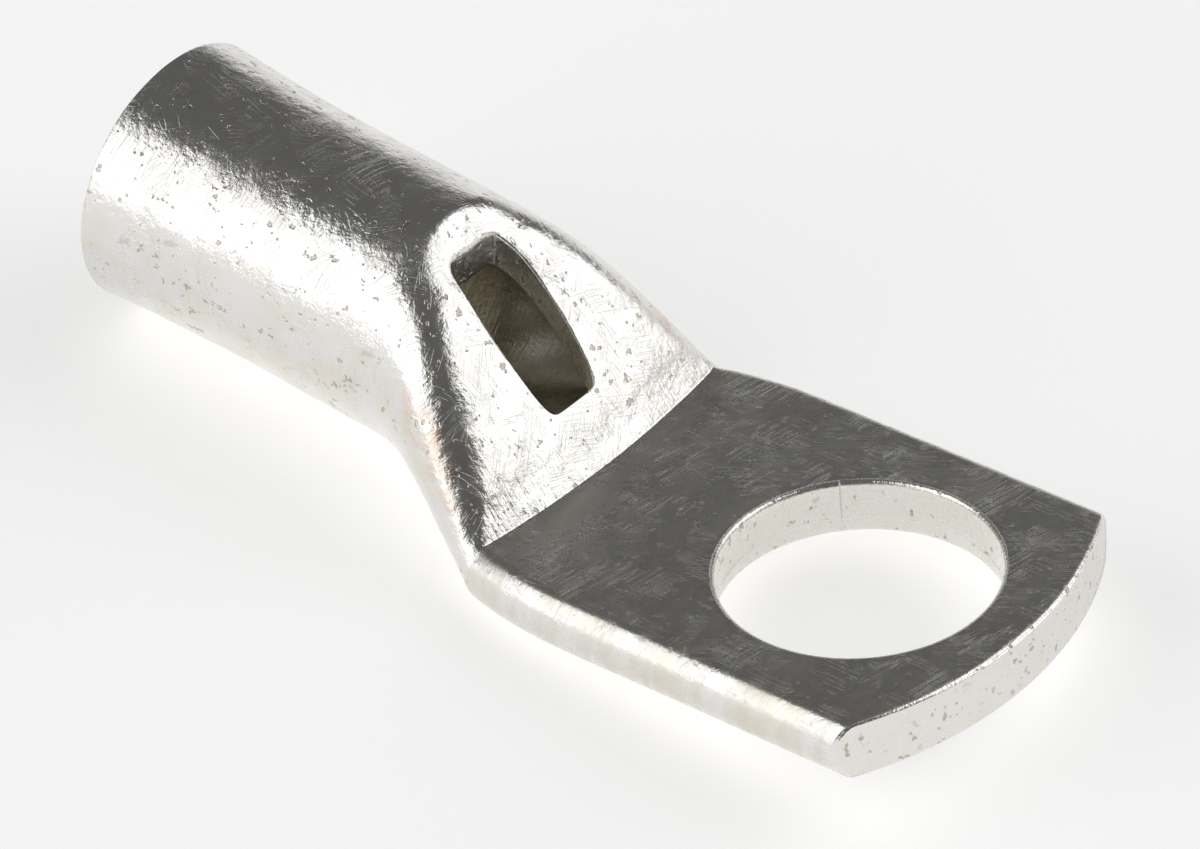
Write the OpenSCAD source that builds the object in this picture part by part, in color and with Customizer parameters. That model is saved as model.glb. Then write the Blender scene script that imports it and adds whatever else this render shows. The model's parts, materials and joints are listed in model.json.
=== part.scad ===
// Copper tube cable lug: one length of tin plated copper tube.
// Its round barrel takes the bared conductor and is crimped onto it. Past the
// barrel the tube is pressed flat into a palm with a hole for the stud, and a
// window punched through the ramp shows that the conductor is fully home.
// Frame: the origin is the centre of the stud hole on the palm's underside,
// +X runs parallel to the barrel from its mouth towards the palm, +Z is up.

/* [Tube] */
// Bore of the barrel, for a 25 mm2 conductor
bore_d = 7; // [6:0.1:8]
// Wall of the tube
wall = 1.55; // [1.2:0.05:1.7]
// Length of the round barrel, from its mouth to the first flattening
barrel_len = 13.5; // [10:0.5:24]
// How far the softly belled mouth stands out from the barrel
bell = 0.3; // [0.1:0.05:0.5]
// Length over which the bell dies away
bell_len = 8; // [4:0.5:9.5]
// Length of the lead-in that opens the bore at the mouth
lead_in = 0.8; // [0.4:0.1:1.5]

/* [Flattening] */
// Length over which the tube is pressed from round to flat
ramp_len = 7.6; // [7:0.1:12]
// Share of that length over which the top rolls over into the ramp
roll_over = 0.35; // [0.3:0.05:0.7]
// How early the sides spread as the tube is pressed: 1 keeps pace, less is earlier
spread = 0.85; // [0.7:0.05:1]
// How far the underside of the ramp is drawn up between the barrel and the crease
arch = 0.4; // [0:0.05:0.5]
// How much nearer to the stud hole the crease lies at its middle than at its ends
crease_bow = 0.7; // [0:0.1:0.8]
// Angle by which the palm is set up from the underside of the barrel
palm_angle = 7; // [0:0.5:12]
// Radius of the bend under the crease that sets the palm up
bend_r = 18; // [10:1:24]

/* [Palm] */
// Diameter of the stud hole, for an M10 stud
stud_d = 10.5; // [8.4:0.1:10.5]
// Overall width of the palm
palm_w = 16.4; // [14.5:0.1:18]
// Thickness of the palm, its two layers pressed together
palm_t = 2.4; // [2:0.1:3]
// How far each folded side of the palm bulges past its flat
fold_bulge = 0.7; // [0.3:0.05:0.8]
// From the ends of the crease at the foot of the ramp to the centre of the stud hole
crease_to_stud = 12.5; // [11.4:0.1:16]
// From the centre of the stud hole to the middle of the sheared tip
stud_to_tip = 7.4; // [7:0.1:11]
// Radius of the sheared tip
tip_r = 16; // [12:0.5:30]
// How much narrower the palm is at the crease, on each side
waist = 0.65; // [0:0.05:0.8]
// Length over which the palm grows from its waist to its full width
waist_len = 5; // [3:0.5:5.5]

/* [Window] */
// Length of the inspection window, seen from above
window_len = 4.7; // [3.5:0.1:5.5]
// Width of the inspection window at its middle
window_w = 3.3; // [2:0.1:4]
// How much narrower the window is at each end than at its middle
window_bow = 0.3; // [0.1:0.1:0.8]
// From the middle of the window to the crease
window_to_crease = 4; // [3.5:0.1:5.5]
// Depth of the dish that the punch draws around the window
dish = 1; // [0:0.05:1.2]
// How far behind the middle of the window the dish is deepest
dish_back = 1.6; // [0.5:0.1:2]
// Length over which the dish dies away, along the lug
dish_len = 2.5; // [1.5:0.1:3]
// How far the dish reaches past the window on each side
dish_reach = 1.2; // [0.5:0.1:2]

/* [Hidden] */

tube_d = bore_d + 2 * wall;
flat_w = palm_w - 2 * fold_bulge;

// Places along the underside, measured from the mouth
crease_at = barrel_len + ramp_len;
bend_len = bend_r * palm_angle * PI / 180;
bend_from = crease_at - bend_len / 2;
bend_to = crease_at + bend_len / 2;
palm_from = crease_at + waist_len;
stud_at = crease_at + crease_to_stud;
window_at = crease_at - window_to_crease;

bell_rings = 6;
ramp_rings = 18;
waist_rings = 6;
arc_steps = 12;
flat_steps = 8;
// A round section keeps a flat this wide, so that its points stay apart
least_flat = 0.6;
// The lofts' ends are drawn in by the tuck and reach the lap into their neighbours
tuck = 0.02;
lap = 0.1;
// The cavity ends where its two layers have closed to this gap
pinch = 0.35;
// The bow of the crease dies away over this length before and behind it
bow_reach = 2.4;
// Share of the ramp over which the dish starts
dish_start = 0.22;
over = 1;

// Share of the ramp that lies behind a place: 0 up to the barrel's end, 1 from the crease
function along_ramp(s) = min(1, max(0, (s - barrel_len) / ramp_len));

// The tube's underside: a straight line under the barrel, then an arc up to the
// palm's angle, with the ramp's part of it drawn up a little. Each value is [x, z, angle] at a distance s from the mouth.
function turn_at(s) = palm_angle * min(1, max(0, (s - bend_from) / max(bend_len, over / 1000)));
function underside(s) =
    let (
        a = turn_at(s),
        past = max(0, s - bend_to),
        before = min(s, bend_from),
        drawn = sin(180 * along_ramp(s))
    ) [
        before + bend_r * sin(a) + past * cos(a),
        -tube_d / 2 + bend_r * (1 - cos(a)) + past * sin(a) + arch * drawn * drawn,
        a
    ];

// How far the tube is pressed at a distance s: 0 is round, 1 is flat
function press_at(s) =
    let (v = along_ramp(s), k = roll_over)
    (v < k ? v * v / (2 * k) : v - k / 2) / (1 - k / 2);

// The outside section at s: [height, width of its flats, bulge of its sides]
function waist_at(s) =
    let (w = min(1, max(0, (s - crease_at) / waist_len))) waist * (1 - w) * (1 - w);
function section_at(s) =
    let (
        p = press_at(s),
        height = tube_d + (palm_t - tube_d) * p,
        width = tube_d + (palm_w - 2 * waist_at(s) - tube_d) * pow(p, spread),
        flats = max(least_flat, width - height, (flat_w - 2 * waist_at(s)) * p)
    ) [height, flats, (width - flats) / 2];

// The same section moved in by the wall, which thins to half the palm, for the cavity
function wall_at(s) = wall + (palm_t / 2 - wall) * press_at(s);
function inner_section_at(s) =
    let (
        outer = section_at(s),
        height = outer[0] - 2 * wall_at(s),
        half = outer[1] / 2 + outer[2] - wall,
        bulge = min(height / 2, max(outer[2] - wall, height / 4))
    ) [height, 2 * (half - bulge), bulge];

// Points of a section: flats below and above, and a round side at each end
function side_arc(sec, steps) =
    let (
        h = sec[0],
        b = sec[2],
        r = (b * b + h * h / 4) / (2 * b),
        reach = b >= h / 2 - tuck ? 90 : asin(h / 2 / r)
    ) [
        for (i = [0:steps])
            let (a = reach * (2 * i / steps - 1))
            [sec[1] / 2 + b - r + r * cos(a), h / 2 + r * sin(a)]
    ];
function section_points(sec) =
    let (arc = side_arc(sec, arc_steps)) concat(
        arc,
        [for (i = [1:flat_steps - 1]) [sec[1] * (0.5 - i / flat_steps), sec[0]]],
        [for (i = [arc_steps:-1:0]) [-arc[i][0], arc[i][1]]],
        [for (i = [1:flat_steps - 1]) [sec[1] * (i / flat_steps - 0.5), 0]]
    );

// The dish sinks the top around the window, from nothing where the ramp begins
function dish_at(s, y) =
    let (
        begun = min(1, along_ramp(s) / dish_start),
        along = (s - window_at + dish_back) / dish_len,
        across = y / (window_w / 2 + dish_reach)
    ) dish * begun * begun * (3 - 2 * begun) * exp(-along * along - across * across);

// How far the top lies forward at the crease, most at its middle
function bow_at(s, y) =
    let (off = (s - crease_at) / bow_reach, side = 2 * y / palm_w)
    crease_bow * (1 - side * side) * exp(-off * off);

// A section's points placed at s. The level is 0 on the outer underside, and
// an inset draws the whole section in, where its end is tucked into a solid.
// The dish and the bow fade from the top to nothing at the underside.
function ring_at(s, full, level, inset = 0) =
    let (at = underside(s), sec = [full[0] - 2 * inset, full[1], full[2] - inset]) [
        for (p = section_points(sec))
            let (
                fade = pow(p[1] / sec[0], 2),
                up = level + inset + p[1] - dish_at(s, p[0]) * fade,
                on = bow_at(s, p[0]) * fade
            ) [at[0] + cos(at[2]) * on - sin(at[2]) * up, p[0], at[1] + sin(at[2]) * on + cos(at[2]) * up]
    ];

// A closed solid through a list of rings, with a fan of triangles over each end
function middle(ring) = [for (axis = [0:2]) ([for (p = ring) 1] * [for (p = ring) p[axis]]) / len(ring)];
module loft(rings) {
    n = len(rings[0]);
    last = (len(rings) - 1) * n;
    tips = len(rings) * n;
    sides = [
        for (j = [0:n:last - n], i = [0:n - 1])
            let (k = (i + 1) % n)
            each [[j + i, j + n + k, j + k], [j + i, j + n + i, j + n + k]]
    ];
    near_end = [for (i = [0:n - 1]) [i, (i + 1) % n, tips]];
    far_end = [for (i = [0:n - 1]) [last + (i + 1) % n, last + i, tips + 1]];
    polyhedron(
        points = [for (ring = rings) each ring, middle(rings[0]), middle(rings[len(rings) - 1])],
        faces = concat(sides, near_end, far_end)
    );
}

module along_barrel() {
    rotate([0, 90, 0]) children();
}

module on_palm(s) {
    at = underside(s);
    translate([at[0], 0, at[1]]) rotate([0, -at[2], 0]) children();
}

// The round barrel with its belled mouth
module barrel() {
    r = tube_d / 2;
    belled = [for (i = [0:bell_rings]) let (w = 1 - i / bell_rings) [r + bell * w * w, bell_len * (1 - w)]];
    along_barrel() rotate_extrude($fn = 96)
        polygon(concat([[0, 0]], belled, [[r, barrel_len], [0, barrel_len]]));
}

// From the round barrel down the ramp to the crease and on to the full palm
module flattened_tube() {
    stations = concat(
        [for (i = [1:ramp_rings]) barrel_len + ramp_len * i / ramp_rings],
        [for (i = [1:waist_rings - 1]) crease_at + waist_len * i / waist_rings]
    );
    loft(concat(
        [ring_at(barrel_len - lap, section_at(barrel_len), 0, tuck)],
        [for (s = stations) ring_at(s, section_at(s), 0)],
        [ring_at(palm_from + lap, section_at(palm_from), 0, tuck)]
    ));
}

// The full palm: a plan outline cut by the section of the folded tube
module palm() {
    length = stud_at + stud_to_tip - palm_from;
    side_r = (fold_bulge * fold_bulge + palm_t * palm_t / 4) / (2 * fold_bulge);
    on_palm(palm_from) intersection() {
        linear_extrude(palm_t) intersection() {
            translate([0, -palm_w / 2]) square([length, palm_w]);
            translate([length - tip_r, 0]) circle(r = tip_r, $fn = 180);
        }
        along_barrel() linear_extrude(length + over) intersection() {
            translate([-palm_t, -palm_w / 2]) square([palm_t, palm_w]);
            union() {
                translate([-palm_t, lap - flat_w / 2]) square([palm_t, flat_w - 2 * lap]);
                for (side = [-1, 1])
                    translate([-palm_t / 2, side * (palm_w / 2 - side_r)]) circle(r = side_r, $fn = 96);
            }
        }
    }
}

// The bore, with a short lead-in at the mouth
module bore() {
    r = bore_d / 2;
    along_barrel() {
        translate([0, 0, -over]) cylinder(h = barrel_len + over, r = r, $fn = 96);
        translate([0, 0, -lap]) cylinder(h = lead_in + lap, r1 = r + bell, r2 = r - tuck, $fn = 96);
    }
}

// The bore's flattened end, closing between the layers before the crease
module cavity() {
    press_end = (tube_d - palm_t - pinch) / (tube_d - palm_t);
    run = ramp_len * (press_end * (1 - roll_over / 2) + roll_over / 2);
    stations = [for (i = [1:ramp_rings]) barrel_len + run * i / ramp_rings];
    loft(concat(
        [ring_at(barrel_len - lap, inner_section_at(barrel_len), wall, tuck)],
        [for (s = stations) ring_at(s, inner_section_at(s), wall_at(s))]
    ));
}

module stud_hole() {
    on_palm(stud_at) translate([0, 0, -over]) cylinder(h = palm_t + 2 * over, d = stud_d, $fn = 96);
}

// The window is punched straight down through the upper wall only
module window() {
    bow_r = (window_len * window_len / 4 + window_bow * window_bow) / (2 * window_bow);
    translate([window_at, 0, -tube_d / 2 + palm_t]) linear_extrude(tube_d) intersection() {
        square([window_len, window_w], center = true);
        translate([0, window_w / 2 - bow_r]) circle(r = bow_r, $fn = 180);
        translate([0, bow_r - window_w / 2]) circle(r = bow_r, $fn = 180);
    }
}

module lug() {
    at = underside(stud_at);
    color([0.83, 0.81, 0.77]) translate([-at[0], 0, -at[1]]) difference() {
        union() {
            barrel();
            flattened_tube();
            palm();
        }
        bore();
        cavity();
        stud_hole();
        window();
    }
}

lug();
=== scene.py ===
import json
import logging
import math
from dataclasses import dataclass, field
from enum import Enum

import bpy
import bmesh
import numpy as np
from mathutils import Matrix, Vector, noise

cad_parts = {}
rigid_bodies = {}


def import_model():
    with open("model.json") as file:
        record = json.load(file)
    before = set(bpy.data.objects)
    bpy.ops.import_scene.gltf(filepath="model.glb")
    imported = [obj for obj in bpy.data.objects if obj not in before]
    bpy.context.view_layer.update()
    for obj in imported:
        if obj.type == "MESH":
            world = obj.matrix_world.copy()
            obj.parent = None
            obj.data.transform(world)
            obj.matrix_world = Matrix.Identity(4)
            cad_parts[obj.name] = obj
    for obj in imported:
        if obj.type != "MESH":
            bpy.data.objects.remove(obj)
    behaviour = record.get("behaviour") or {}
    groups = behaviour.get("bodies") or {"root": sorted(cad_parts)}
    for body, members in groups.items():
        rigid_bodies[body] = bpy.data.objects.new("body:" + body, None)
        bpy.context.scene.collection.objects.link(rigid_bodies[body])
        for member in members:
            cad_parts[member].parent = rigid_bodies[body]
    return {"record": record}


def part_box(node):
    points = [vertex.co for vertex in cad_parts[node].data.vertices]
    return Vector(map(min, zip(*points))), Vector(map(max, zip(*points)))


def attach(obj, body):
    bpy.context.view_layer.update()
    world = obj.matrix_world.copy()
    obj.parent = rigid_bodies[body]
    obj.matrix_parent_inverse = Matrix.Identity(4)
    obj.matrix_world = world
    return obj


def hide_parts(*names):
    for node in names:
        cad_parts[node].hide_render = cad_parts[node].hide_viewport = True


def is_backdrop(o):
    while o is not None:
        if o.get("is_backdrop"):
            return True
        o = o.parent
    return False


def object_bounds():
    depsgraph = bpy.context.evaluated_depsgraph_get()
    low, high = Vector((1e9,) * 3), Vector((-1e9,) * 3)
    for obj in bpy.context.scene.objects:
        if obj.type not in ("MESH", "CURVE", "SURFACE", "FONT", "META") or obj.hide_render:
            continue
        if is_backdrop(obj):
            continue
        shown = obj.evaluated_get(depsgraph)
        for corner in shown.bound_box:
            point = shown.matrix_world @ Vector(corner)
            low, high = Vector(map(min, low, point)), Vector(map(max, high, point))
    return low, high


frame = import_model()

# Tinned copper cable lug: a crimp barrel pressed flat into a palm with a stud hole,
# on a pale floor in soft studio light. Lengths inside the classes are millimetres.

log = logging.getLogger("lug")

MM = 0.001
CAD_NODE = "lug"
BODY = "root"
MICRON = 1e-6

Triple = tuple[float, float, float]
Socket = bpy.types.NodeSocket


def mount(name: str) -> dict:
    """Find one of the record's mounts.

    Args:
        name: the mount's name in the record.
    Returns:
        The mount's own entry.
    """
    return next(m for m in frame["record"]["mounts"] if m["name"] == name)


def ease(x: np.ndarray) -> np.ndarray:
    """Smooth step of a value that is held between 0 and 1."""
    x = np.clip(x, 0.0, 1.0)
    return x * x * (3.0 - 2.0 * x)


class Skin(Enum):
    """The kinds of surface that the finish tells apart."""

    OUTSIDE = 0
    CUT = 1
    INSIDE = 2


@dataclass
class TubeForm:
    """The pressed tube as a surface: where its outside and its bore lie.

    A place is given by s, the distance from the mouth along the underside, and h, the
    share of the half outline from the middle of the bottom (0) to that of the top (1).
    """

    bore_d: float = 7.0
    wall: float = 1.55
    barrel_len: float = 13.5
    bell: float = 0.3
    bell_len: float = 8.0
    ramp_len: float = 7.6
    roll_over: float = 0.35
    spread: float = 0.85
    arch: float = 0.4
    crease_bow: float = 0.7
    bow_reach: float = 2.4
    palm_angle: float = 7.0
    bend_r: float = 18.0
    palm_w: float = 16.4
    palm_t: float = 2.4
    fold_bulge: float = 0.7
    crease_to_stud: float = 12.5
    stud_to_tip: float = 7.4
    tip_r: float = 16.0
    waist: float = 0.65
    waist_len: float = 5.0
    window_len: float = 4.7
    window_w: float = 3.3
    window_bow: float = 0.3
    window_to_crease: float = 4.0
    dish: float = 1.0
    dish_back: float = 1.6
    dish_len: float = 2.5
    dish_reach: float = 1.2
    dish_start: float = 0.22
    soften: float = 0.09
    least_core: float = 0.05
    least_bulge: float = 0.02

    def __post_init__(self) -> None:
        """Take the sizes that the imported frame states, and derive the rest."""
        stud, bore = mount("stud_hole"), mount("wire_bore")
        self.bore_d = 2 * bore["dims"]["r_mm"]
        self.stud_r = stud["dims"]["r_mm"]
        self.palm_angle = math.degrees(math.atan2(-stud["axis"][0], stud["axis"][2]))
        low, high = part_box(CAD_NODE)
        self.palm_w = round((high[1] - low[1]) / MM, 3)
        self.tube_d = self.bore_d + 2 * self.wall
        self.flat_w = self.palm_w - 2 * self.fold_bulge
        self.crease_at = self.barrel_len + self.ramp_len
        self.bend_len = self.bend_r * math.radians(self.palm_angle)
        self.bend_from = self.crease_at - self.bend_len / 2
        self.stud_at = self.crease_at + self.crease_to_stud
        self.window_at = self.crease_at - self.window_to_crease
        x, z, _ = self.underside(np.array([self.stud_at]))
        self.origin = (float(x[0]), 0.0, float(z[0]))

    def along_ramp(self, s: np.ndarray) -> np.ndarray:
        """Share of the ramp that lies behind each place."""
        return np.clip((s - self.barrel_len) / self.ramp_len, 0.0, 1.0)

    def press(self, s: np.ndarray) -> np.ndarray:
        """How far the tube is pressed at each place: 0 is round, 1 is flat."""
        v, k = self.along_ramp(s), self.roll_over
        return np.where(v < k, v * v / (2 * k), v - k / 2) / (1 - k / 2)

    def underside(self, s: np.ndarray) -> tuple[np.ndarray, np.ndarray, np.ndarray]:
        """Lay out the line of the underside.

        Args:
            s: distances from the mouth.
        Returns:
            The line's x, its z and its angle in radians.
        """
        full = math.radians(self.palm_angle)
        a = full * np.clip((s - self.bend_from) / self.bend_len, 0.0, 1.0)
        past = np.maximum(0.0, s - self.bend_from - self.bend_len)
        before = np.minimum(s, self.bend_from)
        drawn = np.sin(np.pi * self.along_ramp(s)) ** 2
        x = before + self.bend_r * np.sin(a) + past * np.cos(a)
        z = -self.tube_d / 2 + self.bend_r * (1 - np.cos(a)) + past * np.sin(a) + self.arch * drawn
        return x, z, a

    def section(self, s: np.ndarray, inner: bool = False) -> tuple[np.ndarray, ...]:
        """Work out the outline across the tube.

        Args:
            s: distances from the mouth.
            inner: whether the bore's outline is wanted instead of the outside.
        Returns:
            Height, width of the flats, bulge of the sides, and the outline's level
            over the underside.
        """
        p = self.press(s)
        waist = self.waist * np.clip(1 - (s - self.crease_at) / self.waist_len, 0.0, 1.0) ** 2
        waist = np.where(s < self.crease_at, self.waist, waist)
        height = self.tube_d + (self.palm_t - self.tube_d) * p
        width = self.tube_d + (self.palm_w - 2 * waist - self.tube_d) * p ** self.spread
        flats = np.maximum(np.maximum(0.0, width - height), (self.flat_w - 2 * waist) * p)
        flare = self.bell * np.clip(1 - s / self.bell_len, 0.0, 1.0) ** 2
        if not inner:
            return height + 2 * flare, flats, (width - flats) / 2 + flare, -flare
        wall = self.wall + (self.palm_t / 2 - self.wall) * p
        core = np.maximum(self.least_core, height - 2 * wall)
        half = width / 2 - self.wall
        bulge = np.minimum(core / 2, np.maximum((width - flats) / 2 - self.wall, core / 4))
        return core, np.maximum(0.0, 2 * (half - bulge)), bulge, wall

    def outline(self, section: tuple[np.ndarray, ...], h: np.ndarray) -> tuple[np.ndarray, np.ndarray]:
        """Find points of a half outline.

        Args:
            section: height, flats, bulge and level at each place.
            h: share of the half outline at each place.
        Returns:
            Sideways distance and height over the outline's own bottom.
        """
        height, flats, bulge, _ = section
        r = (bulge ** 2 + height ** 2 / 4) / (2 * bulge)
        reach = np.where(bulge >= height / 2 - 1e-4, np.pi / 2, np.arcsin(np.clip(height / 2 / r, 0, 1)))
        run = flats + 2 * r * reach
        y_sum, z_sum = 0.0, 0.0
        steps = (-1.0, -0.5, 0.0, 0.5, 1.0)
        for step in steps:
            d = h * run + step * self.soften
            a = np.clip((d - flats / 2) / r, 0.0, 2 * reach) - reach
            low, top = d < flats / 2, d > run - flats / 2
            y_sum = y_sum + np.where(low, d, np.where(top, run - d, flats / 2 + bulge - r + r * np.cos(a)))
            z_sum = z_sum + np.where(low, 0.0, np.where(top, height, height / 2 + r * np.sin(a)))
        return y_sum / len(steps), z_sum / len(steps)

    def run(self, section: tuple[np.ndarray, ...]) -> np.ndarray:
        """Length of the half outline of each section."""
        height, flats, bulge, _ = section
        r = (bulge ** 2 + height ** 2 / 4) / (2 * bulge)
        return flats + 2 * r * np.arcsin(np.clip(height / 2 / r, 0, 1))

    def share_at(self, section: tuple[np.ndarray, ...], y: np.ndarray) -> np.ndarray:
        """Share of the half outline, from the top's middle, that a sideways distance takes."""
        height, flats, bulge, _ = section
        r = (bulge ** 2 + height ** 2 / 4) / (2 * bulge)
        reach = np.arcsin(np.clip(height / 2 / r, 0, 1))
        a = np.arccos(np.clip((np.abs(y) - flats / 2 - bulge + r) / r, -1, 1))
        taken = np.where(np.abs(y) < flats / 2, np.abs(y), flats / 2 + r * (reach - np.minimum(a, reach)))
        return taken / (flats + 2 * r * reach)

    def dish_at(self, s: np.ndarray, y: np.ndarray) -> np.ndarray:
        """How far the punch has drawn the top down around the window."""
        begun = ease(self.along_ramp(s) / self.dish_start)
        along = (s - self.window_at + self.dish_back) / self.dish_len
        across = y / (self.window_w / 2 + self.dish_reach)
        return self.dish * begun * np.exp(-along ** 2 - across ** 2)

    def bow_at(self, s: np.ndarray, y: np.ndarray) -> np.ndarray:
        """How far the top lies forward at the crease, most at its middle."""
        side = 2 * y / self.palm_w
        return self.crease_bow * (1 - side ** 2) * np.exp(-((s - self.crease_at) / self.bow_reach) ** 2)

    def place(self, s: np.ndarray, y: np.ndarray, up: np.ndarray, fade: np.ndarray) -> np.ndarray:
        """Turn a place on the tube into coordinates.

        Args:
            s: distances from the mouth.
            y: sideways distances.
            up: heights over the underside.
            fade: 0 on the underside and 1 on the top, where the dish and the bow act in full.
        Returns:
            An array of coordinates, in millimetres, from the stud hole's centre.
        """
        x, z, a = self.underside(s)
        up = up - self.dish_at(s, y) * fade
        on = self.bow_at(s, y) * fade
        ahead = x + np.cos(a) * on - np.sin(a) * up
        over = z + np.sin(a) * on + np.cos(a) * up
        return np.stack([ahead, y + 0 * x, over], -1) - np.array(self.origin)

    def ring_points(self, s: np.ndarray, h: np.ndarray, side: np.ndarray, inner: bool = False,
                    inset: float = 0.0) -> np.ndarray:
        """Coordinates of places on the outside or in the bore.

        Args:
            s: distances from the mouth.
            h: share of the half outline.
            side: +1 or -1 for the two halves.
            inner: whether the bore is meant.
            inset: how far the whole outline is drawn in.
        Returns:
            An array of coordinates.
        """
        height, flats, bulge, level = self.section(s, inner)
        drawn = np.maximum(self.least_bulge, bulge - inset)
        sec = (height - 2 * inset, flats, drawn, level + inset)
        y, z = self.outline(sec, h)
        return self.place(s, y * side, sec[3] + z, (z / sec[0]) ** 2)

    def top_points(self, s: np.ndarray, y: np.ndarray, inner: bool = False, down: float = 0.0,
                   under: bool = False) -> np.ndarray:
        """Coordinates of places on the top, or on the underside, by their sideways distance."""
        sec = self.section(s, inner)
        share = self.share_at(sec, y)
        _, z = self.outline(sec, share if under else 1 - share)
        return self.place(s, y, sec[3] + z - down, (z / sec[0]) ** 2)

    def tip_at(self, y: np.ndarray) -> np.ndarray:
        """Distance from the mouth to the sheared tip at each sideways distance."""
        return self.stud_at + self.stud_to_tip - self.tip_r + np.sqrt(self.tip_r ** 2 - y ** 2)


@dataclass
class MeshSink:
    """Collects points with their masks, and the faces between them."""

    points: list = field(default_factory=list)
    flows: list = field(default_factory=list)
    skins: list = field(default_factory=list)
    edges: list = field(default_factory=list)
    faces: list = field(default_factory=list)
    count: int = 0

    def add(self, points: np.ndarray, flow: np.ndarray, skin: Skin,
            edge: float | np.ndarray = 0.0) -> np.ndarray:
        """Take in points.

        Args:
            points: coordinates, with any number of leading axes.
            flow: along, around and depth of each point, for the finish.
            skin: the kind of surface.
            edge: 1 on a worn edge, 0 away from it.
        Returns:
            The points' numbers, shaped like the leading axes.
        """
        shape = points.shape[:-1]
        n = int(np.prod(shape))
        self.points.append(points.reshape(n, 3))
        self.flows.append(np.broadcast_to(flow, shape + (3,)).reshape(n, 3))
        self.skins.append(np.full(n, float(skin.value)))
        self.edges.append(np.broadcast_to(edge, shape).reshape(n).astype(float))
        self.count += n
        return np.arange(self.count - n, self.count).reshape(shape)

    def quads(self, grid: np.ndarray, closed: bool = False, keep: np.ndarray | None = None) -> None:
        """Add the faces of a grid of numbered points.

        Args:
            grid: numbers, one row for each ring.
            closed: whether each row runs round and meets itself.
            keep: which cells to make, where not all of them are.
        """
        nxt = np.roll(grid, -1, axis=1) if closed else grid[:, 1:]
        cur = grid if closed else grid[:, :-1]
        cells = np.stack([cur[:-1], cur[1:], nxt[1:], nxt[:-1]], -1)
        if keep is not None:
            cells = cells[keep]
        self.faces.extend(cells.reshape(-1, 4).tolist())

    def build(self, name: str) -> bpy.types.Object:
        """Make the object from all that was taken in.

        Args:
            name: the piece's name.
        Returns:
            The new object, linked to the scene.
        """
        faces = [list(dict.fromkeys(f)) for f in self.faces]
        mesh = bpy.data.meshes.new(name)
        mesh.from_pydata((np.concatenate(self.points) * MM).tolist(), [], [f for f in faces if len(f) > 2])
        for label, data in (("skin", self.skins), ("edge", self.edges)):
            mesh.attributes.new(label, "FLOAT", "POINT").data.foreach_set("value", np.concatenate(data))
        flow = mesh.attributes.new("flow", "FLOAT_VECTOR", "POINT")
        flow.data.foreach_set("vector", np.concatenate(self.flows).ravel())
        bm = bmesh.new()
        bm.from_mesh(mesh)
        bmesh.ops.recalc_face_normals(bm, faces=bm.faces)
        bm.to_mesh(mesh)
        bm.free()
        mesh.shade_smooth()
        piece = bpy.data.objects.new(name, mesh)
        bpy.context.scene.collection.objects.link(piece)
        return piece


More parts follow.
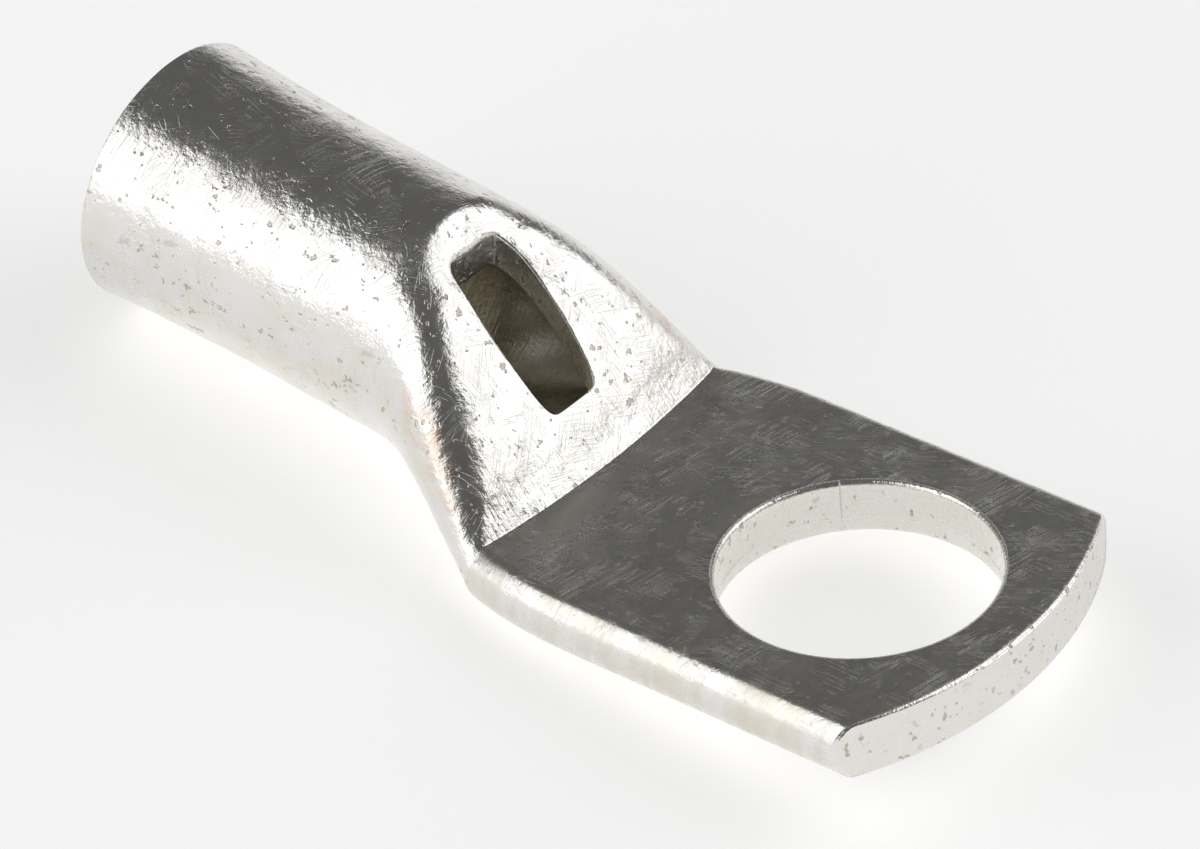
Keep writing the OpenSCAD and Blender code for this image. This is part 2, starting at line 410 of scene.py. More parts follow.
@dataclass
class Lug:
    """The lug's whole surface: outside, bore, window, stud hole and sheared tip."""

    form: TubeForm
    half_columns: int = 100
    ring_step: float = 0.16
    hole_block: float = 6.4
    window_block: tuple[float, float] = (3.6, 2.95)
    annulus_rows: int = 12
    tip_rows: int = 12
    wall_rows: int = 12
    lip_rows: int = 4
    mouth_lip: float = 0.14
    lead_in: float = 0.8
    flare: float = 0.25
    tip_lip: float = 0.16
    hole_lip: float = 0.22
    window_lip: float = 0.15
    seam_at: float = 0.34
    smooth_rows: int = 6
    break_out: tuple[Triple, ...] = (
        (0.05, 0.31, 0.6), (0.06, 0.28, 0.6), (0.09, 0.2, 0.0), (0.13, 0.1, 0.0), (0.17, 0.04, 0.6))
    hole_foot: float = 0.24
    corner: float = 9.0
    first_ring: float = 0.22
    crease_rings: Triple = (-0.04, 0.0, 0.04)
    ring_gap: float = 0.03
    pinched: float = 0.955
    bore_after: float = 0.1
    palm_edge: float = 0.3
    cut_turn: float = 0.8
    tube_dents: tuple[tuple[float, float], ...] = ((3.4, 0.05), (1.3, 0.018), (0.7, 0.006))
    palm_dents: tuple[tuple[float, float], ...] = ((4.5, 0.012), (1.5, 0.004))

    def columns(self) -> tuple[np.ndarray, np.ndarray]:
        """Spread the columns round the outline.

        Returns:
            The share of the half outline and the side of each column, from the
            bottom's middle over the +Y side to the top and back.
        """
        half = np.linspace(0.0, 1.0, self.half_columns + 1)
        share = np.concatenate([half, half[-2:0:-1]])
        side = np.concatenate([np.ones(self.half_columns + 1), -np.ones(self.half_columns - 1)])
        return share, side

    def swept(self, s: np.ndarray, y: np.ndarray, back: float) -> np.ndarray:
        """Stretch the last rings to the curved tip.

        Args:
            s: distances from the mouth on the middle line.
            y: sideways distances.
            back: how far behind the sheared face the last ring stays.
        Returns:
            The true distances from the mouth.
        """
        form = self.form
        t = np.clip((s - form.stud_at) / (form.stud_to_tip - back), 0.0, None)
        return np.minimum(s, form.stud_at) + t * (form.tip_at(y) - back - form.stud_at)

    def lay_outside(self, sink: MeshSink, stations: np.ndarray) -> tuple[np.ndarray, np.ndarray]:
        """Lay the rings of the outside.

        Args:
            sink: where the points go.
            stations: distances from the mouth of the rings, on the middle line.
        Returns:
            The points' numbers, and each point's place (s, y).
        """
        form = self.form
        share, side = self.columns()
        s = np.repeat(stations[:, None], len(share), 1)
        h = np.repeat(share[None], len(s), 0)
        y, _ = form.outline(form.section(s), h)
        s = self.swept(s, y, self.tip_lip)
        points = form.ring_points(s, h, side[None])
        flow = np.stack([s, side[None] * (1 - h) * form.run(form.section(s)), 0 * s], -1)
        return sink.add(points, flow, Skin.OUTSIDE), np.stack([s, y * side[None]], -1)

    def lay_bore(self, sink: MeshSink, stations: np.ndarray) -> tuple[np.ndarray, np.ndarray]:
        """Lay the rings of the bore, as lay_outside does for the outside."""
        form = self.form
        share, side = self.columns()
        s = np.repeat(stations[:, None], len(share), 1)
        h = np.repeat(share[None], len(s), 0)
        y, _ = form.outline(form.section(s, True), h)
        points = form.ring_points(s, h, side[None], inner=True)
        flow = np.stack([s, side[None] * (1 - h) * form.run(form.section(s, True)), 0 * s - 1], -1)
        return sink.add(points, flow, Skin.INSIDE), np.stack([s, y * side[None]], -1)

    def block_edge(self, first: int, last: int, reach: int) -> tuple[np.ndarray, np.ndarray]:
        """Walk round a block of rings and columns about the middle column.

        Args:
            first: first ring of the block.
            last: last ring of the block.
            reach: columns on each side of the middle.
        Returns:
            Ring and column of each point on the way round, and each point's
            direction from the block's middle, from -1 to 1 along and across.
        """
        mid = self.half_columns
        rings, cols = np.arange(first, last), np.arange(mid - reach, mid + reach)
        path = [(i, mid - reach) for i in rings] + [(last, j) for j in cols]
        path += [(i + 1, mid + reach) for i in rings[::-1]] + [(first, j + 1) for j in cols[::-1]]
        path = np.array(path)
        u = 2 * (path[:, 0] - first) / (last - first) - 1
        return path, np.stack([u, -(path[:, 1] - mid) / reach], -1)

    def fill(self, sink: MeshSink, edge: np.ndarray, place: np.ndarray, rim: np.ndarray,
             inside: bool = False, under: bool = False) -> np.ndarray:
        """Fill the surface between a block's edge and a rim.

        Args:
            sink: where points and faces go.
            edge: numbers of the block's edge points.
            place: place (s, y) of each edge point.
            rim: place (s, y) of each rim point.
            inside: whether the bore's surface is meant.
            under: whether the underside is meant.
        Returns:
            Numbers of the rim's points.
        """
        rows = [edge]
        for k in range(1, self.annulus_rows + 1):
            t = k / self.annulus_rows
            at = place + (rim - place) * t * (1.35 - 0.35 * t)
            points = self.form.top_points(at[:, 0], at[:, 1], inside, under=under)
            flow = np.concatenate([at, np.zeros((len(at), 1))], -1)
            skin = Skin.INSIDE if inside else Skin.OUTSIDE
            rows.append(sink.add(points, flow, skin, float(k >= self.annulus_rows - 1)))
        sink.quads(np.array(rows), closed=True)
        return rows[-1]

    def window_rim(self, uv: np.ndarray, grow: float = 0.0) -> np.ndarray:
        """Plan of the punched window.

        Args:
            uv: direction of each point of the rim.
            grow: how far outside the rim the points lie.
        Returns:
            Place (s, y) of each point.
        """
        form, n = self.form, self.corner
        r = (np.abs(uv[:, 0]) ** n + np.abs(uv[:, 1]) ** n) ** (1 / n)
        u, v = uv[:, 0] / r, uv[:, 1] / r
        slim = 1 - 2 * form.window_bow / form.window_w * u ** 2
        s = form.window_at + u * (form.window_len / 2 + grow)
        return np.stack([s, v * (form.window_w / 2 * slim + grow)], -1)

    def hole_rim(self, uv: np.ndarray, r: float) -> np.ndarray:
        """Place (s, y) of points on a circle about the stud hole's axis."""
        unit = uv / np.linalg.norm(uv, axis=1, keepdims=True)
        return np.array([self.form.stud_at, 0.0]) + r * unit

    def punch_window(self, sink: MeshSink, outside: np.ndarray, out_place: np.ndarray, bore: np.ndarray,
                     bore_place: np.ndarray, skipped: int) -> tuple[int, int, int]:
        """Punch the window through the upper wall.

        Args:
            sink: where points and faces go.
            outside: numbers of the outside's points.
            out_place: their places.
            bore: numbers of the bore's points.
            bore_place: their places.
            skipped: how many of the outside's rings come before the bore's first.
        Returns:
            First ring, last ring and reach of the block that is left out.
        """
        form, mid = self.form, self.half_columns
        middle = out_place[:, mid, 0]
        first = int(np.argmin(np.abs(middle - form.window_at + self.window_block[0])))
        last = int(np.argmin(np.abs(middle - form.window_at - self.window_block[0])))
        across = np.abs(out_place[(first + last) // 2, mid // 2:mid, 1])
        reach = mid // 2 - int(np.argmin(np.abs(across - self.window_block[1])))
        path, uv = self.block_edge(first, last, reach)
        edge, place = outside[path[:, 0], path[:, 1]], out_place[path[:, 0], path[:, 1]]
        rows = [self.fill(sink, edge, place, self.window_rim(uv, self.window_lip))]
        rim = self.window_rim(uv)
        round_rim = np.cumsum(np.linalg.norm(np.roll(rim, -1, 0) - rim, axis=1))
        for k in range(1, self.lip_rows + 1):
            t = k / self.lip_rows * np.pi / 2
            at = self.window_rim(uv, self.window_lip * (1 - math.sin(t)))
            points = form.top_points(at[:, 0], at[:, 1], down=self.window_lip * (1 - math.cos(t)))
            flow = np.stack([round_rim, 0 * round_rim, 0 * round_rim + 1], -1)
            rows.append(sink.add(points, flow, Skin.CUT if k > 1 else Skin.OUTSIDE, 1.0))
        high = points
        at = self.window_rim(uv)
        low = form.top_points(at[:, 0], at[:, 1], inner=True)
        for k in range(1, self.wall_rows):
            t = k / self.wall_rows
            flow = np.stack([round_rim, t * (high - low)[:, 2], 0 * round_rim + 1], -1)
            rows.append(sink.add(high + (low - high) * t, flow, Skin.CUT))
        path_in = path - np.array([skipped, 0])
        edge, place = bore[path_in[:, 0], path_in[:, 1]], bore_place[path_in[:, 0], path_in[:, 1]]
        rows.append(self.fill(sink, edge, place, at, inside=True))
        sink.quads(np.array(rows), closed=True)
        return first, last, reach

    def punch_hole(self, sink: MeshSink, outside: np.ndarray, place: np.ndarray) -> tuple[int, int, int]:
        """Punch the stud hole through the palm.

        Args:
            sink: where points and faces go.
            outside: numbers of the outside's points.
            place: their places.
        Returns:
            First ring, last ring and reach of the blocks left out, above and below.
        """
        form, mid = self.form, self.half_columns
        middle = place[:, mid, 0]
        first = int(np.argmin(np.abs(middle - form.stud_at + self.hole_block)))
        last = int(np.argmin(np.abs(middle - form.stud_at - self.hole_block)))
        across = np.abs(place[first, mid // 2:mid, 1])
        reach = mid // 2 - int(np.argmin(np.abs(across - self.hole_block)))
        path, uv = self.block_edge(first, last, reach)
        n = 2 * mid
        below = (mid - path[:, 1]) % n
        r, t, lip = form.stud_r, form.palm_t, self.hole_lip
        profile = [(r + lip * (1 - math.sin(a)), t - lip * (1 - math.cos(a)), 1.0)
                   for a in np.linspace(0, np.pi / 2, self.lip_rows + 1)[1:]]
        profile += [(r, up, 0.0) for up in np.linspace(t - 2 * lip, self.seam_at * t, self.smooth_rows)]
        profile += [(r + out, share * t, worn) for out, share, worn in self.break_out]
        rows = [self.fill(sink, outside[path[:, 0], path[:, 1]], place[path[:, 0], path[:, 1]],
                          self.hole_rim(uv, r + lip))]
        round_rim = r * np.unwrap(np.arctan2(uv[:, 1], uv[:, 0]))
        for rho, up, edge in profile:
            at = self.hole_rim(uv, rho)
            points = form.place(at[:, 0], at[:, 1], np.full(len(at), up), np.zeros(len(at)))
            flow = np.stack([round_rim, 0 * round_rim + t - up, 0 * round_rim + 2], -1)
            rows.append(sink.add(points, flow, Skin.CUT, edge))
        rows.append(self.fill(sink, outside[path[:, 0], below], place[path[:, 0], below],
                              self.hole_rim(uv, r + self.hole_foot), under=True))
        sink.quads(np.array(rows), closed=True)
        return first, last, reach

    def shear_tip(self, sink: MeshSink, last_ring: np.ndarray) -> None:
        """Round the last ring over and close it with the sheared face.

        Args:
            sink: where points and faces go.
            last_ring: numbers of the outside's last ring.
        """
        form = self.form
        share, side = self.columns()
        end = np.full(len(share), form.stud_at + form.stud_to_tip)
        y, _ = form.outline(form.section(end), share)
        rows = [last_ring]
        for a in np.linspace(0, np.pi / 2, self.lip_rows + 1)[1:]:
            s = form.tip_at(y) - self.tip_lip * (1 - math.sin(a))
            points = form.ring_points(s, share, side, inset=self.tip_lip * (1 - math.cos(a)))
            flow = np.stack([y * side, 0 * y, 0 * y + 3], -1)
            rows.append(sink.add(points, flow, Skin.CUT if a > self.cut_turn else Skin.OUTSIDE, 1.0))
        sink.quads(np.array(rows), closed=True)
        self.close(sink, rows[-1], points, self.tip_rows, Skin.CUT, 3.0)

    def close(self, sink: MeshSink, ring: np.ndarray, points: np.ndarray, rows: int, skin: Skin,
              mark: float) -> None:
        """Close a ring with rows of faces from its bottom to its top.

        Args:
            sink: where points and faces go.
            ring: the ring's numbers.
            points: the ring's coordinates.
            rows: how many rows of faces.
            skin: the kind of surface.
            mark: the third value of the rows' flow.
        """
        half, n = self.half_columns, 2 * self.half_columns
        ks = np.arange(half // 2, -1, -1)
        bottom = np.concatenate([ks, (n - ks[::-1][1:]) % n])
        top = np.concatenate([half - ks, half + ks[::-1][1:]])
        grid = [ring[bottom]]
        for k in range(1, rows):
            t = k / rows
            at = points[bottom] + (points[top] - points[bottom]) * t
            flow = np.stack([at[:, 1], (1 - t) * np.linalg.norm(points[top] - points[bottom], axis=1),
                             0 * at[:, 1] + mark], -1)
            row = sink.add(at, flow, skin)
            row[0], row[-1] = ring[bottom[0]], ring[bottom[-1]]
            grid.append(row)
        grid.append(ring[top])
        sink.quads(np.array(grid))

    def open_mouth(self, sink: MeshSink, outside_first: np.ndarray, bore_first: np.ndarray) -> None:
        """Turn the outside over the mouth's rim and into the bore.

        Args:
            sink: where points and faces go.
            outside_first: numbers of the outside's first ring.
            bore_first: numbers of the bore's first ring.
        """
        form = self.form
        share, side = self.columns()
        outer, inner, lip = form.tube_d / 2 + form.bell, form.bore_d / 2, self.mouth_lip
        profile = [(lip * (1 - math.sin(a)), outer - lip * (1 - math.cos(a)), 1.0)
                   for a in np.linspace(0.3, np.pi / 2, self.lip_rows + 1)]
        profile += [(0.0, rho, 0.0) for rho in np.linspace(outer - lip, inner + self.flare + 0.06, 6)[1:]]
        profile += [(0.03, inner + self.flare, 1.0)]
        profile += [(s, inner + self.flare * (1 - s / self.lead_in), 0.0)
                    for s in np.linspace(0.1, self.lead_in, 5)]
        rows = [outside_first]
        for s, rho, edge in profile:
            turn = np.pi * share
            points = np.stack([0 * share + s, rho * np.sin(turn) * side, -rho * np.cos(turn)], -1)
            flow = np.stack([0 * share - rho, side * (1 - share) * np.pi * rho, 0 * share + 4], -1)
            skin = Skin.CUT if rho < outer - lip else Skin.OUTSIDE
            rows.append(sink.add(points - np.array(form.origin), flow, skin, edge))
        rows.append(bore_first)
        sink.quads(np.array(rows), closed=True)

    def build(self) -> bpy.types.Object:
        """Build the lug's mesh.

        Returns:
            The new object.
        """
        form, sink, half = self.form, MeshSink(), self.half_columns
        end = form.stud_at + form.stud_to_tip - self.tip_lip
        even = np.linspace(self.first_ring, end, int(end / self.ring_step))
        sharp = form.crease_at + np.array(self.crease_rings)
        clear = np.min(np.abs(even[:, None] - sharp[None]), axis=1) > self.ring_gap
        stations = np.sort(np.concatenate([even[clear], sharp]))
        outside, place = self.lay_outside(sink, stations)
        flat = self.pinched * (1 - form.roll_over / 2) + form.roll_over / 2
        pinch_at = form.barrel_len + form.ramp_len * flat
        skipped = int(np.argmax(stations > self.lead_in + self.bore_after))
        bore_stations = stations[skipped:][stations[skipped:] < pinch_at]
        bore, bore_place = self.lay_bore(sink, bore_stations)
        first, last, reach = self.punch_window(sink, outside, place, bore, bore_place, skipped)
        low, high, span = self.punch_hole(sink, outside, place)
        keep = np.ones((len(stations) - 1, 2 * half), bool)
        keep[first:last, half - reach:half + reach] = False
        keep[low:high, half - span:half + span] = False
        keep[low:high, :span] = False
        keep[low:high, -span:] = False
        sink.quads(outside, closed=True, keep=keep)
        keep = np.ones((len(bore_stations) - 1, 2 * half), bool)
        keep[first - skipped:last - skipped, half - reach:half + reach] = False
        sink.quads(bore, closed=True, keep=keep)
        self.shear_tip(sink, outside[-1])
        self.open_mouth(sink, outside[0], bore[0])
        share, side = self.columns()
        ring = form.ring_points(np.full(len(share), bore_stations[-1]), share, side, inner=True)
        self.close(sink, bore[-1], ring, 1, Skin.INSIDE, -1.0)
        piece = sink.build("lug_body")
        self.dent(piece)
        return piece

    def dent(self, piece: bpy.types.Object) -> None:
        """Sink the outside a little, unevenly, as handling and pressing leave it.

        Args:
            piece: the lug's object.
        """
        mesh = piece.data
        skins, flows = mesh.attributes["skin"].data, mesh.attributes["flow"].data
        normals = [v.normal.copy() for v in mesh.vertices]
        for v, normal, skin, flow in zip(mesh.vertices, normals, skins, flows):
            if skin.value > 0.5:
                continue
            palm = flow.vector[0] > self.form.crease_at - self.palm_edge
            depth = 0.0
            for reach, size in self.palm_dents if palm else self.tube_dents:
                depth += size * (0.5 + 0.5 * noise.noise(v.co / (reach * MM)))
            v.co -= normal * depth * MM
        mesh.update()


class NodeKit:
    """Short calls for the nodes that a finish is made of."""

    def __init__(self, tree: bpy.types.NodeTree) -> None:
        """Keep the node tree that the calls add to."""
        self.tree = tree

    def node(self, kind: str, **settings: object) -> bpy.types.Node:
        """Add one node.

        Args:
            kind: the node's type name.
            settings: properties to set on it.
        Returns:
            The new node.
        """
        new = self.tree.nodes.new(kind)
        for key, value in settings.items():
            setattr(new, key, value)
        return new

    def put(self, socket: Socket, value: object) -> None:
        """Link a socket to another, or set its value."""
        if isinstance(value, Socket):
            self.tree.links.new(value, socket)
        else:
            socket.default_value = value

    def math(self, operation: str, a: object, b: object = 0.0) -> Socket:
        """Do one sum on two values."""
        new = self.node("ShaderNodeMath", operation=operation)
        self.put(new.inputs[0], a)
        self.put(new.inputs[1], b)
        return new.outputs[0]

    def times(self, *values: object) -> Socket:
        """Multiply several values together."""
        product = values[0]
        for value in values[1:]:
            product = self.math("MULTIPLY", product, value)
        return product

    def total(self, *values: object) -> Socket:
        """Add several values together."""
        result = values[0]
        for value in values[1:]:
            result = self.math("ADD", result, value)
        return result

    def less(self, value: object) -> Socket:
        """Take a value away from one."""
        return self.math("SUBTRACT", 1.0, value)

    def step(self, value: object, low: float, high: float) -> Socket:
        """Rise smoothly from 0 at the low value to 1 at the high one."""
        new = self.node("ShaderNodeMapRange", interpolation_type="SMOOTHSTEP")
        for name, number in (("Value", value), ("From Min", low), ("From Max", high)):
            self.put(new.inputs[name], number)
        return new.outputs["Result"]

    def stretch(self, vector: object, scale: Triple) -> Socket:
        """Scale a place along its three directions."""
        new = self.node("ShaderNodeVectorMath", operation="MULTIPLY")
        self.put(new.inputs[0], vector)
        self.put(new.inputs[1], scale)
        return new.outputs[0]

    def turned(self, vector: object, degrees: float, axis: Triple) -> Socket:
        """Turn a place about an axis through the origin."""
        new = self.node("ShaderNodeVectorRotate")
        self.put(new.inputs["Vector"], vector)
        self.put(new.inputs["Axis"], axis)
        self.put(new.inputs["Angle"], math.radians(degrees))
        return new.outputs[0]

    def noise(self, vector: object, scale: float, detail: float = 2.0,
              rough: float = 0.5) -> Socket:
        """Cloudy values about one half, at so many lumps for each unit of the place."""
        new = self.node("ShaderNodeTexNoise")
        for name, value in (("Vector", vector), ("Scale", scale), ("Detail", detail), ("Roughness", rough)):
            self.put(new.inputs[name], value)
        return new.outputs["Fac"]

    def swing(self, value: object, size: object) -> Socket:
        """Centre a cloudy value on nothing and give it a size."""
        return self.times(self.math("SUBTRACT", value, 0.5), size)

    def mix(self, share: object, a: object, b: object) -> Socket:
        """Mix two colours."""
        new = self.node("ShaderNodeMix", data_type="RGBA")
        for socket, value in ((new.inputs[0], share), (new.inputs[6], a), (new.inputs[7], b)):
            self.put(socket, (*value, 1.0) if isinstance(value, tuple) else value)
        return new.outputs[2]

    def mask(self, name: str, output: str = "Fac") -> Socket:
        """Read one of the mesh's own values."""
        return self.node("ShaderNodeAttribute", attribute_name=name).outputs[output]


@dataclass(frozen=True)
class TinPlate:
    """Satin tin plate over copper, with pits, scratches, brushed faces and painted shade in the bore.

    Heights are in micrometres and places in millimetres.
    """

    name: str = "tin_plate"
    bright: Triple = (0.84, 0.83, 0.81)
    cream: Triple = (0.81, 0.77, 0.68)
    # A dull tone: real brushed streaks on the palm, and painted shade inside the bore
    streak_tone_and_painted_shade: Triple = (0.66, 0.62, 0.52)
    grime: Triple = (0.30, 0.25, 0.19)
    copper: Triple = (0.74, 0.47, 0.34)
    peel: float = 55.0
    mottle: float = 26.0
    grain: float = 8.0
    pit: float = 16.0
    scratch: float = 4.0
    brush: float = 6.0
    strike: float = 16.0
    tear: float = 16.0
    scratch_turns: tuple[float, ...] = (12.0, 63.0, 118.0)
    worn_scale: float = 0.45
    lump_scale: float = 0.9
    spot_scale: float = 3.0
    speck_scale: float = 9.0
    pit_scale: float = 2.3
    pit_from: tuple[float, float] = (0.635, 0.70)
    brush_grain: Triple = (11.0, 0.32, 0.32)
    smear_grain: Triple = (1.6, 0.14, 0.14)
    strike_grain: Triple = (0.42, 6.5, 0.0)
    tear_grain: Triple = (8.0, 0.5, 1.0)
    scratch_grain: Triple = (7.0, 0.35, 0.35)
    foot_from: float = 3.2
    foot_full: float = 0.9
    satin: float = 0.20
    smoothest: float = 0.1

    def make(self, form: TubeForm) -> bpy.types.Material:
        """Build the finish.

        Args:
            form: the tube's form, for the places where the finish changes.
        Returns:
            The material.
        """
        mat = bpy.data.materials.new(self.name)
        mat.use_nodes = True
        kit = NodeKit(mat.node_tree)
        shader = mat.node_tree.nodes["Principled BSDF"]
        place = kit.stretch(kit.node("ShaderNodeTexCoord").outputs["Object"], (1 / MM,) * 3)
        flow = kit.mask("flow", "Vector")
        parts = kit.node("ShaderNodeSeparateXYZ")
        kit.put(parts.inputs[0], flow)
        along, around = parts.outputs[0], parts.outputs[1]
        skin, edge = kit.mask("skin"), kit.mask("edge")
        outside = kit.less(kit.step(skin, 0.1, 0.9))
        inside = kit.step(skin, 1.2, 1.8)
        cut = kit.times(kit.less(outside), kit.less(inside))
        palm = kit.times(outside, kit.step(along, form.crease_at - 0.02, form.crease_at + 0.1))
        tube = kit.times(outside, kit.less(palm))
        near = kit.step(along, form.crease_at - self.foot_from, form.crease_at - self.foot_full)
        foot = kit.times(tube, near)
        worn = kit.noise(place, self.worn_scale)
        lumps = kit.noise(place, self.lump_scale)
        spots = kit.noise(place, self.spot_scale, 3.0, 0.6)
        specks = kit.noise(place, self.speck_scale)
        deep = kit.noise(place, self.pit_scale, rough=0.62)
        pits = kit.times(kit.step(deep, *self.pit_from), kit.less(inside))
        lines = self.scratches(kit, place)
        brushed = kit.noise(kit.stretch(place, self.brush_grain), 1.0, 3.0, 0.6)
        smear = kit.noise(kit.stretch(place, self.smear_grain), 1.0, 2.0)
        struck = kit.noise(kit.stretch(flow, self.strike_grain), 1.0, 2.0)
        torn = kit.noise(kit.stretch(flow, self.tear_grain), 1.0, 3.0, 0.6)
        height = kit.total(
            kit.swing(lumps, kit.times(kit.total(tube, kit.times(cut, 0.3)), self.peel)),
            kit.swing(spots, kit.times(kit.less(kit.times(palm, 0.7)), self.mottle)),
            kit.swing(specks, self.grain),
            kit.times(pits, kit.less(kit.times(palm, 0.6)), -self.pit),
            kit.times(lines, outside, -self.scratch),
            kit.swing(brushed, kit.times(palm, self.brush)),
            kit.swing(struck, kit.times(foot, self.strike)),
            kit.swing(torn, kit.times(kit.less(outside), self.tear)),
        )
        bump = kit.node("ShaderNodeBump")
        bump.inputs["Distance"].default_value = MICRON
        kit.put(bump.inputs["Height"], height)
        kit.put(shader.inputs["Normal"], bump.outputs[0])
        self.colour(kit, shader, place, along, around, pits, inside, cut, palm, smear)
        roughness = kit.total(
            self.satin, kit.swing(worn, 0.16), kit.swing(spots, 0.22), kit.times(palm, 0.09),
            kit.swing(smear, kit.times(palm, 0.25)), kit.times(cut, 0.08), kit.times(inside, 0.16),
            kit.times(lines, 0.1), kit.times(edge, -0.04), kit.times(pits, 0.15),
        )
        kit.put(shader.inputs["Roughness"], kit.math("MAXIMUM", roughness, self.smoothest))
        shader.inputs["Metallic"].default_value = 1.0
        return mat

    def scratches(self, kit: NodeKit, place: object) -> Socket:
        """Draw short fine scratches in several directions.

        Args:
            kit: the calls for nodes.
            place: the place on the lug.
        Returns:
            1 on a scratch and 0 off it.
        """
        result = 0.0
        for k, degrees in enumerate(self.scratch_turns):
            turned = kit.turned(place, degrees, (0.3 * k, 0.2, 1.0))
            line = kit.noise(kit.stretch(turned, self.scratch_grain), 1.0, 1.0)
            near = kit.math("ABSOLUTE", kit.math("SUBTRACT", line, 0.5))
            some = kit.step(kit.noise(turned, 0.55 + 0.1 * k, 1.0), 0.5, 0.6)
            result = kit.total(result, kit.times(kit.less(kit.step(near, 0.006, 0.02)), some))
        return kit.math("MINIMUM", result, 1.0)

    def colour(self, kit: NodeKit, shader: bpy.types.Node, place: object, along: object, around: object,
               pits: object, inside: object, cut: object, palm: object, smear: object) -> None:
        """Tint the plate, and paint shade into the bore.

        Args:
            kit: the calls for nodes.
            shader: the shader that takes the colour.
            place: the place on the lug.
            along: distance from the mouth.
            around: distance from the top's middle, round the outline.
            pits: 1 in a pit.
            inside: 1 in the bore.
            cut: 1 on a sheared or punched face.
            palm: 1 on the palm.
            smear: broad brushed streaks.
        """
        clouds = kit.step(kit.noise(place, 0.7, 3.0, 0.6), 0.38, 0.66)
        side = kit.step(kit.math("ABSOLUTE", around), 4.0, 9.0)
        creamy = kit.times(clouds, kit.total(0.35, kit.times(side, 0.5)))
        tint = kit.mix(creamy, self.bright, self.cream)
        tint = kit.mix(kit.times(kit.step(smear, 0.35, 0.65), palm, 0.3), tint, self.streak_tone_and_painted_shade)
        tint = kit.mix(kit.times(cut, 0.25), tint, self.cream)
        # Painted shade: the bore's colour is darkened toward the dull tone to stand in for the shade inside
        # it
        tint = kit.mix(kit.times(inside, 0.8), tint, self.streak_tone_and_painted_shade)
        stains = kit.step(kit.noise(place, 1.1, 3.0, 0.65), 0.64, 0.72)
        tint = kit.mix(kit.times(kit.total(kit.times(pits, 0.5), kit.times(stains, 0.25)), kit.less(palm)),
                       tint, self.grime)
        kit.put(shader.inputs["Base Color"], self.blush(kit, tint, place, along, around))

    def blush(self, kit: NodeKit, tint: object, place: object, along: object, around: object) -> object:
        """Let a little copper through where the shoulders were pressed hardest."""
        band = kit.times(kit.step(along, 15.2, 17.0), kit.less(kit.step(along, 19.4, 20.6)))
        off = kit.math("ABSOLUTE", kit.math("SUBTRACT", kit.math("ABSOLUTE", around), 6.6))
        shoulder = kit.less(kit.step(off, 0.3, 1.4))
        patches = kit.step(kit.noise(place, 1.3, 2.0), 0.42, 0.62)
        return kit.mix(kit.times(band, shoulder, patches, 0.45), tint, self.copper)


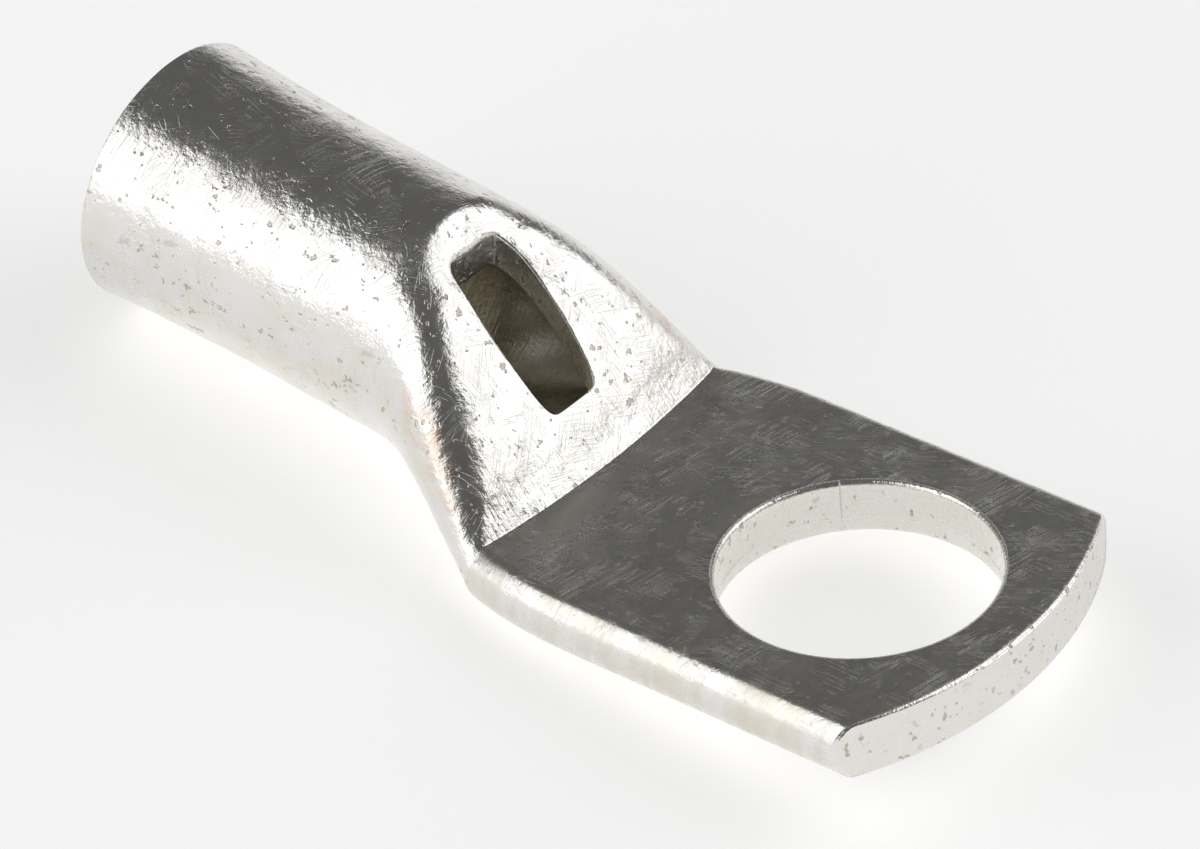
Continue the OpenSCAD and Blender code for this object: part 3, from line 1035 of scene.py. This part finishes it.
@dataclass(frozen=True)
class Studio:
    """Pale floor, soft lamps and the camera."""

    focal_px: float = 7444.5
    frame_px: float = 1200.0
    eye: Triple = (116.9, -165.9, 180.3)
    azimuth: float = 37.931
    elevation: float = 40.218
    roll: float = 1.907
    floor_tint: float = 0.86
    floor_lift: float = 0.52
    dark_from: tuple[float, float] = (0.02, 0.28)
    room: tuple[float, float] = (0.11, 0.85)
    film_mm: float = 36.0
    floor_size: float = 3.0
    paper: float = 0.9
    boxes: tuple[tuple[str, Triple, tuple[float, float], float], ...] = (
        ("left_box", (-0.46, -0.70, 0.46), (1.0, 0.86), 3.5),
        ("right_box", (0.50, 0.60, 0.60), (0.95, 0.9), 3.4),
    )

    def camera(self) -> None:
        """Set the camera up at the viewing angle."""
        data = bpy.data.cameras.new("camera")
        data.sensor_width = self.film_mm
        data.lens = self.focal_px / self.frame_px * self.film_mm
        cam = bpy.data.objects.new("camera", data)
        turn = Matrix.Rotation(math.radians(self.azimuth), 4, "Z")
        tilt = Matrix.Rotation(math.radians(90 - self.elevation), 4, "X")
        roll = Matrix.Rotation(math.radians(self.roll), 4, "Z")
        cam.matrix_world = Matrix.Translation(Vector(self.eye) * MM) @ turn @ tilt @ roll
        bpy.context.scene.collection.objects.link(cam)
        bpy.context.scene.camera = cam

    def floor(self) -> None:
        """Lay the floor under the lowest point of the lug."""
        low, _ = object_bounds()
        bpy.ops.mesh.primitive_plane_add(size=self.floor_size, location=(0, 0, low[2]))
        plane = bpy.context.object
        plane.name = "floor"
        mat = bpy.data.materials.new("floor_paper")
        mat.use_nodes = True
        tree = mat.node_tree
        shader = tree.nodes["Principled BSDF"]
        shader.inputs["Base Color"].default_value = (self.floor_tint,) * 3 + (1.0,)
        shader.inputs["Roughness"].default_value = self.paper
        shader.inputs["Specular IOR Level"].default_value = 0.0
        shader.inputs["Emission Color"].default_value = (1.0, 1.0, 1.0, 1.0)
        path = tree.nodes.new("ShaderNodeLightPath")
        seen = path.outputs["Is Camera Ray"]
        for ray in ("Is Glossy Ray", "Is Transmission Ray"):
            both = tree.nodes.new("ShaderNodeMath")
            both.operation = "ADD"
            tree.links.new(seen, both.inputs[0])
            tree.links.new(path.outputs[ray], both.inputs[1])
            seen = both.outputs[0]
        lift = tree.nodes.new("ShaderNodeMath")
        lift.operation = "MULTIPLY"
        lift.inputs[1].default_value = self.floor_lift
        tree.links.new(seen, lift.inputs[0])
        tree.links.new(lift.outputs[0], shader.inputs["Emission Strength"])
        plane.data.materials.append(mat)
        plane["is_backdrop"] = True

    def lamp(self, name: str, at: Triple, size: tuple[float, float],
             power: float) -> None:
        """Hang one soft lamp that faces the origin.

        Args:
            name: the lamp's name.
            at: where it hangs, in metres.
            size: its width and height.
            power: its power in watts.
        """
        data = bpy.data.lights.new(name, "AREA")
        data.shape = "RECTANGLE"
        data.size, data.size_y = size
        data.energy = power
        lamp = bpy.data.objects.new(name, data)
        lamp.location = at
        lamp.rotation_euler = Vector(at).to_track_quat("Z", "Y").to_euler()
        bpy.context.scene.collection.objects.link(lamp)

    def build(self) -> None:
        """Set up camera, floor, world and lamps."""
        self.camera()
        self.floor()
        world = bpy.data.worlds.new("room")
        bpy.context.scene.world = world
        world.use_nodes = True
        tree = world.node_tree
        add, link = tree.nodes.new, tree.links.new
        place = add("ShaderNodeTexCoord")
        split = add("ShaderNodeSeparateXYZ")
        link(place.outputs["Generated"], split.inputs[0])
        shade = add("ShaderNodeMapRange")
        shade.interpolation_type = "SMOOTHSTEP"
        shade.inputs["From Min"].default_value = self.dark_from[0]
        shade.inputs["From Max"].default_value = self.dark_from[1]
        shade.inputs["To Min"].default_value = self.room[1]
        shade.inputs["To Max"].default_value = self.room[0]
        link(split.outputs["Z"], shade.inputs["Value"])
        link(shade.outputs["Result"], tree.nodes["Background"].inputs["Color"])
        for name, at, size, power in self.boxes:
            self.lamp(name, at, size, power)
        bpy.context.scene.view_settings.view_transform = "Standard"


def main() -> None:
    """Build the lug and its studio."""
    logging.basicConfig(level=logging.INFO)
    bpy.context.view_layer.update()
    form = TubeForm()
    lug = Lug(form).build()
    lug.data.materials.append(TinPlate().make(form))
    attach(lug, BODY)
    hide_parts(CAD_NODE)
    log.info("lug body: %d faces", len(lug.data.polygons))
    Studio().build()
    log.info("studio: camera, floor and lamps")


if __name__ == "__main__":
    main()
